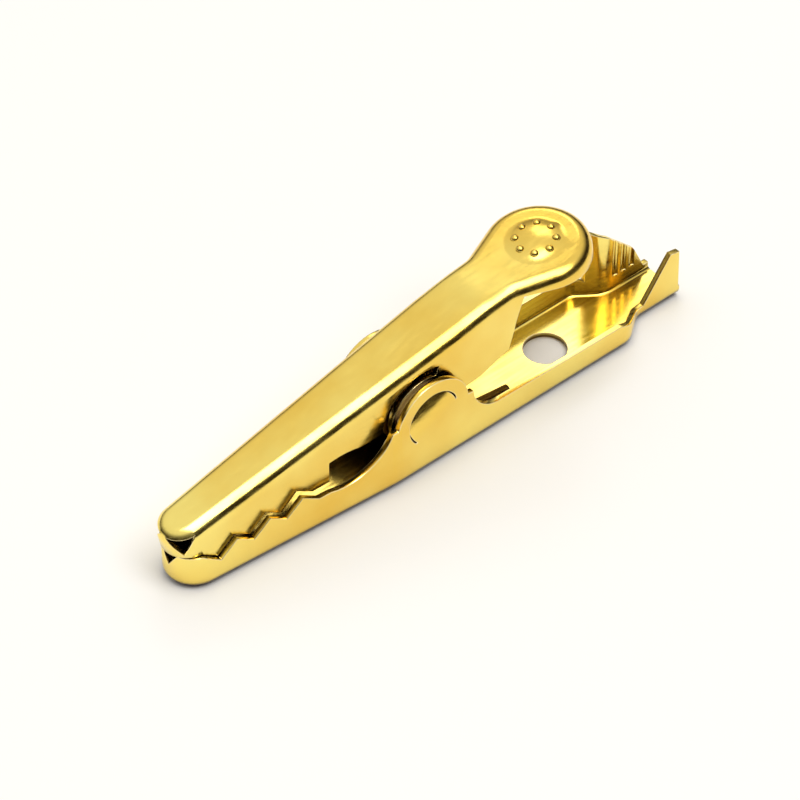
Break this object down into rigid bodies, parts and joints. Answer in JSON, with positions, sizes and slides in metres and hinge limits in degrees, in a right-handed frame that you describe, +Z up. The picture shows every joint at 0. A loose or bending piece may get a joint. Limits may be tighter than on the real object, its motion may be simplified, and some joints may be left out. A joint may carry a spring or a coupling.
{
  "type": "crocodile clip",
  "caption": "Small gold-plated crocodile clip: two toothed sheet jaws nested at a pressed-in hinge, a coil spring that shuts them, a round thumb pad and a crimp tail with a wire hole.",
  "frame": {"origin": "middle of the bounding box on the plane of the flat underside", "axes": "+X from the nose to the wire tail, +Z up from the flat underside, Y along the hinge axis"},
  "size_m": [0.0288, 0.005, 0.0076],
  "materials": {
    "gold_plate": "bright gold plating over stamped sheet",
    "spring_wire": "drawn spring wire, thinly gold plated with the rest"
  },
  "bodies": {
    "lower_jaw": {"lower_jaw": "gold_plate", "torsion_spring": "spring_wire"},
    "upper_jaw": {"upper_jaw": "gold_plate"}
  },
  "joints": [
    {"name": "jaw_hinge", "type": "hinge", "parent": "lower_jaw", "child": "upper_jaw", "pos_m": [-0.0011, 0, 0.0029], "axis": [0, 1, 0], "range_deg": [0, 28], "stiffness_Nm_per_rad": 0.0001, "springref_deg": -85.94, "deforming": ["torsion_spring"]}
  ]
}
